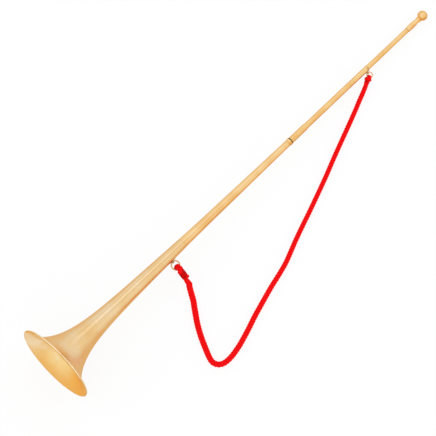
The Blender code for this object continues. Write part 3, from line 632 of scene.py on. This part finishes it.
def addCord():
    ends = []
    for end in (lowerEnd, upperEnd):
        fold, leave, _, _, side = eyePlace(end)
        tip = fold / mm + leave * (end["legLength"] + cordRun["gap"])
        ends.append((tip + side * (end["leg"] + end["grow"] + ringHang["fit"] / 2), leave))
    (first, firstWay), (last, lastWay) = ends
    route = [first + firstWay * cordRun["straight"]] + [Vector(p) for p in cordRun["route"]]
    route += [last + lastWay * cordRun["straight"]]
    dense = [first] + curveThrough(route) + [last]
    place, _, run = evenSamples(dense, [[0]] * len(dense), plait["step"])
    share = run / run[-1]
    thinner = cordRun["upperRadius"] - cordRun["lowerRadius"]
    taper = np.array([smoothStep(cordRun["taper"] * s) for s in share])
    radius = cordRun["lowerRadius"] + thinner * taper
    legs = [end["leg"] + end["grow"] for end in (lowerEnd, upperEnd)]
    start = np.where(share < 0.5, *legs)
    ease = np.clip(np.minimum(run, run[-1] - run) / cordRun["ease"], 0, 1)
    radius = start + (radius - start) * ease * ease * (3 - 2 * ease)
    place[:, 2] = np.maximum(place[:, 2], radius * cordRun["lift"])  # it rests on the floor
    way = wayAlong(place)
    flat = steadySides(way, (1, 0, 0))
    cord = plaitedPiece("carryingCord", place, way, flat, radius, radius, run, plait["depth"])
    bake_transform(cord)
    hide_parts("cord")
    print("cord length in mm:", round(float(run[-1]), 1))


cordEnds = []
for end in (lowerEnd, upperEnd):
    cordEnds += [addEye(end), addWhipping(end)]
addCord()
print("cord laid")


# rings of round wire with a butt seam inside the knuckle
ringWire = {"around": 96, "section": 20, "seam": 0.12, "seamWidth": 1.2}


def addRing(end):
    along, outward, middle = ringPlace(end)
    side = along.cross(outward)
    major, minor = ringWire["around"], ringWire["section"]
    leans = [2 * pi * j / minor for j in range(minor)]
    bm = bmesh.new()
    rings = []
    for i in range(major):
        turn = 2 * pi * i / major
        radial = along * sin(turn) - outward * cos(turn)
        fromSeam = min(i, major - i) / ringWire["seamWidth"]
        wire = end["wire"] * (1 - ringWire["seam"] * exp(-fromSeam ** 2))
        rings.append([bm.verts.new(middle + (radial * (end["ring"] + wire * cos(lean))
                                             + side * wire * sin(lean)) * mm) for lean in leans])
    joinRings(bm, rings, rings[1:] + rings[:1])
    ring = meshPiece(end["name"] + "Ring", bm, wireBrass)
    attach(ring, end["body"])
    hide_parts(end["name"] + "_ring")


for end in (lowerEnd, upperEnd):
    addRing(end)


# bell: tapered stem, flare and steep lip, rolled over its wire
bell = {
    "rim": 51.5, "wire": 0.6, "land": 1.2, "curl": radians(250), "rollBand": 0.2, "crease": 0.6,
    "sheet": 0.5, "fit": 0.2, "length": 212, "stem": 6.1, "taper": 0.0295,
    "flareRise": 29.5, "flareReach": 27.8, "lipReach": 4.5,
    # where the painted highlight and shade bands change round the roll
    "frontFrom": radians(-95), "frontTo": radians(-25), "rollTo": radians(105),
    # rows of faces, closer together towards the lip
    "around": 144, "flareSteps": 56, "closer": 2.2, "curlSteps": 24,
}
bell["bead"] = bell["wire"] + bell["fit"] + bell["sheet"]


def bellRadius(z):
    landStart = bell["rim"] - bell["bead"] - bell["land"]
    lipRise = landStart - bell["stem"] - bell["taper"] * bell["length"] - bell["flareRise"]
    fromLip = z - bell["sheet"] / 2
    stem = bell["stem"] + bell["taper"] * (bell["length"] - fromLip)
    flare = bell["flareRise"] * exp(-fromLip / bell["flareReach"])
    return stem + flare + lipRise * exp(-fromLip / bell["lipReach"])


# 0 outside, 1 inside with painted reflections, 2 on the roll with a painted highlight, 3 on its
# front with painted shade, 4 in the crease behind it with painted shade
def bellFinish(radius, z):
    out, back = radius - bell["rim"] + bell["bead"], z - bell["bead"]
    onRoll = abs(sqrt(out ** 2 + back ** 2) - bell["bead"]) < bell["rollBand"]
    turn = atan2(back, out)
    if onRoll and turn > bell["frontFrom"]:
        return 3 if turn < bell["frontTo"] else 2 if turn < bell["rollTo"] else 4
    if radius < bellRadius(z) and out < 0:
        return 1
    return 4 if radius > bell["rim"] - 2 * bell["bead"] - bell["crease"] else 0


def addBell():
    half = bell["sheet"] / 2
    middle = []
    for i in range(bell["flareSteps"] + 1):
        z = half + (bell["length"] - half) * (1 - i / bell["flareSteps"]) ** bell["closer"]
        middle.append((bellRadius(z), z))
    curl = bell["bead"] - half
    for i in range(bell["curlSteps"] + 1):
        turn = bell["curl"] * i / bell["curlSteps"]
        radius = bell["rim"] - bell["bead"] + curl * sin(turn)
        middle.append((radius, bell["bead"] - curl * cos(turn)))
    outline = sheetOutline(middle, bell["sheet"])
    shell = turnedPiece("bellShell", outline, bell["around"], spunBrass, "bell_section", "bell")
    for material in (mouthReflectionBrass, rollHighlightBrass, rollShadeBrass, paintedShadeBrass):
        shell.data.materials.append(material)
    toHorn = horn.inverted()
    for face in shell.data.polygons:
        spot = toHorn @ face.center / mm
        face.material_index = bellFinish(sqrt(spot.x ** 2 + spot.y ** 2), spot.z)


addBell()


# tubes between bell and mouthpiece
tubes = {
    "sheet": 0.5, "fit": 0.2, "tubeAround": 72, "around": 64,
    "bellTube": 181.4, "mouth": 3.93, "taper": 0.0105, "seamStep": 0.08, "swellReach": 24,
    "spigot": 14, "socketDepth": 25, "tubeEdge": 0.08, "rows": 20, "closer": 1.4,
    "ferrule": 4.4, "ferruleSeat": 0.25, "ferruleWall": 0.6, "ferruleStart": 0.1,
    "ferruleCrown": 0.75, "ferruleShade": 0.9, "shadeOver": 0.05, "mouthRows": 5, "slopeRows": 12,
    "jointGap": 0.8, "sleeve": 24.2, "sleeveWall": 0.27,
    "sleeveEdge": ((0.15, 0), (0.04, 0.05), (0, 0.16)),  # inwards and along, from its end
    "lead": 3.57, "leadEnd": 3.38, "leadLength": 130.8, "leadSpigot": 20, "leadEdge": 0.12,
    "mouthPipe": 68, "mouthStart": 3.08, "mouthEnd": 2.82, "mouthSpigot": 14, "pipeEdge": 0.1,
}
jointZ = bell["length"] + tubes["bellTube"]
sleeveZ = jointZ + tubes["jointGap"]
leadEndZ = jointZ + tubes["leadLength"]
mouthEndZ = leadEndZ + tubes["mouthPipe"]


def tubeRadius(z):
    start = bell["stem"] + bell["sheet"] / 2 - tubes["seamStep"]
    swell = start - tubes["mouth"] - tubes["taper"] * tubes["bellTube"]
    straight = tubes["mouth"] + tubes["taper"] * (jointZ - z)
    return straight + swell * exp((bell["length"] - z) / tubes["swellReach"])


def ferruleBore():
    return tubeRadius(jointZ - tubes["ferrule"]) - tubes["ferruleSeat"] + tubes["fit"]


def addBellTube():
    spigot = bell["stem"] - tubes["sheet"] / 2 - tubes["fit"]
    spigotStart = bell["length"] - tubes["spigot"]
    shoulder = bell["length"] + tubes["fit"]
    socket, socketStart = tubes["mouth"] - tubes["sheet"], jointZ - tubes["socketDepth"]
    seat = jointZ - tubes["ferrule"] - tubes["fit"]
    seatRadius = ferruleBore() - tubes["fit"]
    edge = tubes["tubeEdge"]
    shares = [(i / tubes["rows"]) ** tubes["closer"] for i in range(tubes["rows"])]
    run = [shoulder + edge + (seat - edge - shoulder) * share for share in shares]
    outline = [(spigot, spigotStart), (spigot, shoulder), (tubeRadius(shoulder) - edge, shoulder)]
    outline += [(tubeRadius(z), z) for z in run]
    outline += [(tubeRadius(seat), seat), (seatRadius, seat), (seatRadius, jointZ)]
    outline += [(socket, jointZ), (socket, socketStart)]
    inner = [z for z in run[::-1] if z < socketStart - 1]
    outline += [(min(tubeRadius(z), spigot) - tubes["sheet"], z) for z in inner]
    outline.append((spigot - tubes["sheet"], spigotStart))
    turnedPiece("bellTube", outline, tubes["tubeAround"], drawnBrass, "bell_section", "bell_tube")


# faces between two places on the axis get the painted shade finish
def paintShadeFrom(piece, low, high=mouthEndZ):
    piece.data.materials.append(paintedShadeBrass)
    toHorn = horn.inverted()
    for face in piece.data.polygons:
        if low < (toHorn @ face.center).z / mm < high:
            face.material_index = len(piece.data.materials) - 1


def addSlipJoint():
    length, wall = tubes["ferrule"], tubes["ferruleWall"]
    start = jointZ - length
    bore = ferruleBore()
    rise = wall - tubes["ferruleStart"]
    crown = length * tubes["ferruleCrown"]
    outline = [(bore, start), (bore, jointZ)]
    for i in range(tubes["mouthRows"] + 1):  # rounded mouth
        turn = pi / 2 * i / tubes["mouthRows"]
        outline.append((bore + wall - rise / 2 * (1 - sin(turn)),
                        jointZ - (length - crown) * (1 - cos(turn))))
    for i in range(tubes["slopeRows"] - 1, -1, -1):  # long slope to the tube
        share = i / tubes["slopeRows"]
        radius = bore + tubes["ferruleStart"] + rise * smoothStep(share)
        outline.append((radius, start + crown * share))
    ferrule = turnedPiece("jointFerrule", outline, tubes["around"], castBrass, "bell_section",
                          "joint_ferrule")
    # painted shade: a dark band round the bead at the joint's mouth
    paintShadeFrom(ferrule, jointZ - tubes["ferruleShade"])
    bore = tubes["lead"] + tubes["fit"]
    outer = bore + tubes["sleeveWall"]
    end = sleeveZ + tubes["sleeve"]
    outline = [(bore, sleeveZ), (bore, end)]
    outline += [(outer - inward, end - along) for inward, along in tubes["sleeveEdge"]]
    outline += [(outer - inward, sleeveZ + along) for inward, along in tubes["sleeveEdge"][::-1]]
    turnedPiece("jointSleeve", outline, tubes["around"], pipeBrass, "lead_section", "joint_sleeve")


# solder run from the upper ring's foot over the end of the lead pipe
solderRun = {"turn": radians(-78), "half": radians(56), "length": 2.6, "rows": 8}


def smearSolder(piece):
    piece.data.materials.append(solderBrass)
    toHorn = horn.inverted()
    for face in piece.data.polygons:
        spot = toHorn @ face.center / mm
        aside = (atan2(spot.y, spot.x) - solderRun["turn"]) / solderRun["half"]
        if abs(aside) < 1 and spot.z > leadEndZ - solderRun["length"] * sqrt(1 - aside ** 2):
            face.material_index = len(piece.data.materials) - 1


def addPipes():
    spigot = tubes["mouth"] - tubes["sheet"] - tubes["fit"]
    start = jointZ - tubes["leadSpigot"]
    edge, endZ = tubes["pipeEdge"], leadEndZ - tubes["leadEdge"]
    spigotBore, boreEnd = spigot - tubes["sheet"], tubes["leadEnd"] - tubes["sheet"]
    narrowing = (tubes["leadEnd"] - tubes["lead"]) / tubes["leadLength"]
    shoulderRadius = tubes["lead"] + narrowing * (sleeveZ - jointZ)
    outline = [(spigot - edge, start), (spigot, start + edge),
               (spigot, sleeveZ - tubes["ferruleShade"]), (spigot, sleeveZ),
               (shoulderRadius, sleeveZ)]
    for i in range(solderRun["rows"] + 1):
        z = endZ - solderRun["length"] * (1 - i / solderRun["rows"])
        share = (z - sleeveZ) / (endZ - sleeveZ)
        outline.append((shoulderRadius + (tubes["leadEnd"] - shoulderRadius) * share, z))
    outline += [(tubes["leadEnd"] - tubes["leadEdge"], leadEndZ), (boreEnd, leadEndZ),
                (boreEnd, leadEndZ - 2 * tubes["mouthSpigot"]),
                (spigotBore, sleeveZ + tubes["sheet"]), (spigotBore, start)]
    pipe = turnedPiece("leadPipe", outline, tubes["around"], pipeBrass, "lead_section", "lead_pipe")
    # painted shade: a dark band where the pipe shows in the joint's gap
    paintShadeFrom(pipe, sleeveZ - tubes["ferruleShade"], sleeveZ + tubes["shadeOver"])
    smearSolder(pipe)
    inner = boreEnd - tubes["fit"]
    bore = inner - tubes["sheet"]
    shoulder = leadEndZ + tubes["fit"]
    spigotStart = leadEndZ - tubes["mouthSpigot"]
    outline = [(inner, spigotStart), (inner, shoulder), (tubes["mouthStart"] - edge, shoulder),
               (tubes["mouthStart"], shoulder + edge), (tubes["mouthEnd"], mouthEndZ - edge),
               (tubes["mouthEnd"] - edge, mouthEndZ), (bore, mouthEndZ), (bore, spigotStart)]
    turnedPiece("mouthPipe", outline, tubes["around"], pipeBrass, "lead_section", "mouth_pipe")


addBellTube()
addSlipJoint()
addPipes()
print("bell and tubes built")


# turned mouthpiece: shank, baluster, neck and ball with a hole through all of it
mouthpiece = {
    "around": 72, "shank": 14, "bore": 1.1, "edge": 0.08,
    "balusterLength": 16.6, "peak": 10.6, "baluster": 3.4, "shoulder": 3.15, "balusterRows": 16,
    "neck": 2.75, "neckLength": 4,
    "collar": 3.45, "collarStart": 0.9, "collarLength": 2.6, "collarFlat": 1.25, "collarRows": 12,
    "ball": 6, "ballRows": 28, "tip": 3, "blowHole": 1.7, "holeRows": 5,
}


def addMouthpiece():
    m = mouthpiece
    shank = tubes["leadEnd"] - 2 * tubes["sheet"] - 2 * tubes["fit"]
    shoulder = mouthEndZ + tubes["fit"]
    neckZ = shoulder + m["balusterLength"]
    ballZ = neckZ + m["neckLength"] + sqrt(m["ball"] ** 2 - m["neck"] ** 2)
    start = mouthEndZ - m["shank"]
    outline = [(shank, start), (shank, shoulder), (m["shoulder"] - m["edge"], shoulder)]
    for i in range(m["balusterRows"] + 1):  # baluster, up to its peak and down to the neck
        share = i / m["balusterRows"]
        rise = m["shoulder"] + (m["baluster"] - m["shoulder"]) * sin(pi / 2 * share)
        outline.append((rise, shoulder + m["edge"] + (m["peak"] - m["edge"]) * share))
    for i in range(1, m["balusterRows"] + 1):
        share = i / m["balusterRows"]
        fall = m["neck"] + (m["baluster"] - m["neck"]) * (1 - smoothStep(share))
        outline.append((fall, shoulder + m["peak"] + (m["balusterLength"] - m["peak"]) * share))
    collar = neckZ + m["collarStart"]
    for i in range(m["collarRows"] + 1):  # rounded bead on the neck
        turn = pi * i / m["collarRows"]
        outline.append((m["neck"] + (m["collar"] - m["neck"]) * min(sin(turn) * m["collarFlat"], 1),
                        collar + m["collarLength"] * (1 - cos(turn)) / 2))
    first = atan2(m["neck"], -(ballZ - neckZ - m["neckLength"]))
    last = asin(m["tip"] / m["ball"])
    for i in range(m["ballRows"] + 1):  # ball
        turn = first + (last - first) * i / m["ballRows"]
        outline.append((m["ball"] * sin(turn), ballZ + m["ball"] * cos(turn)))
    tip = ballZ + m["ball"] * cos(last)
    fall = m["tip"] - m["blowHole"]
    for i in range(1, m["holeRows"] + 1):  # rounded edge of the hole
        turn = pi / 2 * i / m["holeRows"]
        outline.append((m["tip"] - fall * sin(turn), tip - fall * (1 - cos(turn))))
    outline += [(m["bore"], ballZ), (m["bore"], start)]
    turnedPiece("mouthpieceTurned", outline, m["around"], castBrass, "mouthpiece_plug",
                "mouthpiece")


addMouthpiece()


# nodes that keep their own shape
keptFinishes = {
    "rim_wire": wireBrass, "lower_ring_foot": solderBrass, "upper_ring_foot": solderBrass,
    "reed_block": castBrass, "reed_rivet": castBrass, "reed_tongue": reedSteel,
}
for name, material in keptFinishes.items():
    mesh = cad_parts[name].data
    mesh.materials.clear()
    mesh.materials.append(material)
print("mouthpiece built, kept nodes finished")


# white floor that keeps a faint shadow
stageLook = {
    "size": 6, "below": 0.1 * mm, "paper": (0.96, 0.96, 0.96, 1), "glow": 1.012, "white": 0.86,
    # painted shade: the metal sees the floor darker and warmer than the camera does, which darkens
    # its lower sides
    "mirrored": 0.9, "mirrorShade": (0.88, 0.72, 0.54, 1),  # as the metal sees the floor
    "sky": 0.97, "horizon": 0.96, "skyFrom": 0.8, "bands": 0.2, "bandScale": 4,
}


def addFloor():
    look = stageLook
    material = bpy.data.materials.new("whiteFloor")
    material.use_nodes = True
    tree = material.node_tree
    tree.nodes.clear()
    link = tree.links.new
    rays = addNode(tree, "ShaderNodeLightPath")
    diffuse = addNode(tree, "ShaderNodeBsdfDiffuse", Color=look["paper"])
    glow = addNode(tree, "ShaderNodeEmission", Strength=look["glow"])
    tone = addNode(tree, "ShaderNodeMix", data_type="RGBA")
    tone.inputs[6].default_value = (1, 1, 1, 1)
    tone.inputs[7].default_value = look["mirrorShade"]
    link(rays.outputs["Is Glossy Ray"], tone.inputs[0])
    link(tone.outputs[2], glow.inputs["Color"])
    seen = addMath(tree, "MULTIPLY", rays.outputs["Is Camera Ray"], look["white"])
    mix = addNode(tree, "ShaderNodeMixShader")
    share = addMath(tree, "MULTIPLY_ADD", rays.outputs["Is Glossy Ray"], look["mirrored"], seen)
    link(share, mix.inputs["Fac"])
    link(diffuse.outputs["BSDF"], mix.inputs[1])
    link(glow.outputs["Emission"], mix.inputs[2])
    link(mix.outputs["Shader"], addNode(tree, "ShaderNodeOutputMaterial").inputs["Surface"])
    bm = bmesh.new()
    bmesh.ops.create_grid(bm, x_segments=1, y_segments=1, size=look["size"] / 2)
    floor = meshPiece("floor", bm, material)
    floor.location.z = -look["below"]


# bright overhead, with soft bands along the horn that give its metal streaks
def addSky():
    look = stageLook
    world = bpy.data.worlds.new("studio")
    bpy.context.scene.world = world
    world.use_nodes = True
    tree = world.node_tree
    background = tree.nodes["Background"]
    parts = addNode(tree, "ShaderNodeSeparateXYZ")
    tree.links.new(addNode(tree, "ShaderNodeTexCoord").outputs["Generated"], parts.inputs["Vector"])
    sky = addRange(tree, parts.outputs["Z"], look["horizon"], look["sky"], (0, look["skyFrom"]))
    turn = addMath(tree, "ARCTAN2", parts.outputs["Y"], parts.outputs["Z"])
    bands = addNode(tree, "ShaderNodeTexNoise", noise_dimensions="1D", Scale=look["bandScale"],
                    Detail=1)
    tree.links.new(turn, bands.inputs["W"])
    banded = addRange(tree, bands.outputs["Fac"], 1 - look["bands"], 1 + look["bands"])
    tree.links.new(addMath(tree, "MULTIPLY", sky, banded), background.inputs["Strength"])
    background.inputs["Color"].default_value = (1, 1, 1, 1)


# long strips along the horn, each as far from overhead as its lean says
lamps = [
    {"name": "streakStrip", "lean": radians(15), "far": 1.8, "size": (5, 0.05), "watts": 1.8,
     "colour": (0.3, 0.42, 1)},
    {"name": "sideStrip", "lean": radians(24), "far": 1.8, "size": (5, 0.03), "watts": 0.8,
     "colour": (0.3, 0.42, 1)},
]


def addLamps():
    for lamp in lamps:
        light = bpy.data.lights.new(lamp["name"], "AREA")
        light.shape = "RECTANGLE"
        light.size, light.size_y = lamp["size"]
        light.energy = lamp["watts"]
        light.color = lamp["colour"]
        holder = bpy.data.objects.new(lamp["name"], light)
        bpy.context.collection.objects.link(holder)
        lean = Matrix.Rotation(-lamp["lean"], 4, "X")
        holder.matrix_world = lean @ Matrix.Translation((0, 0, lamp["far"]))


addFloor()
addSky()
addLamps()
print("stage lit")
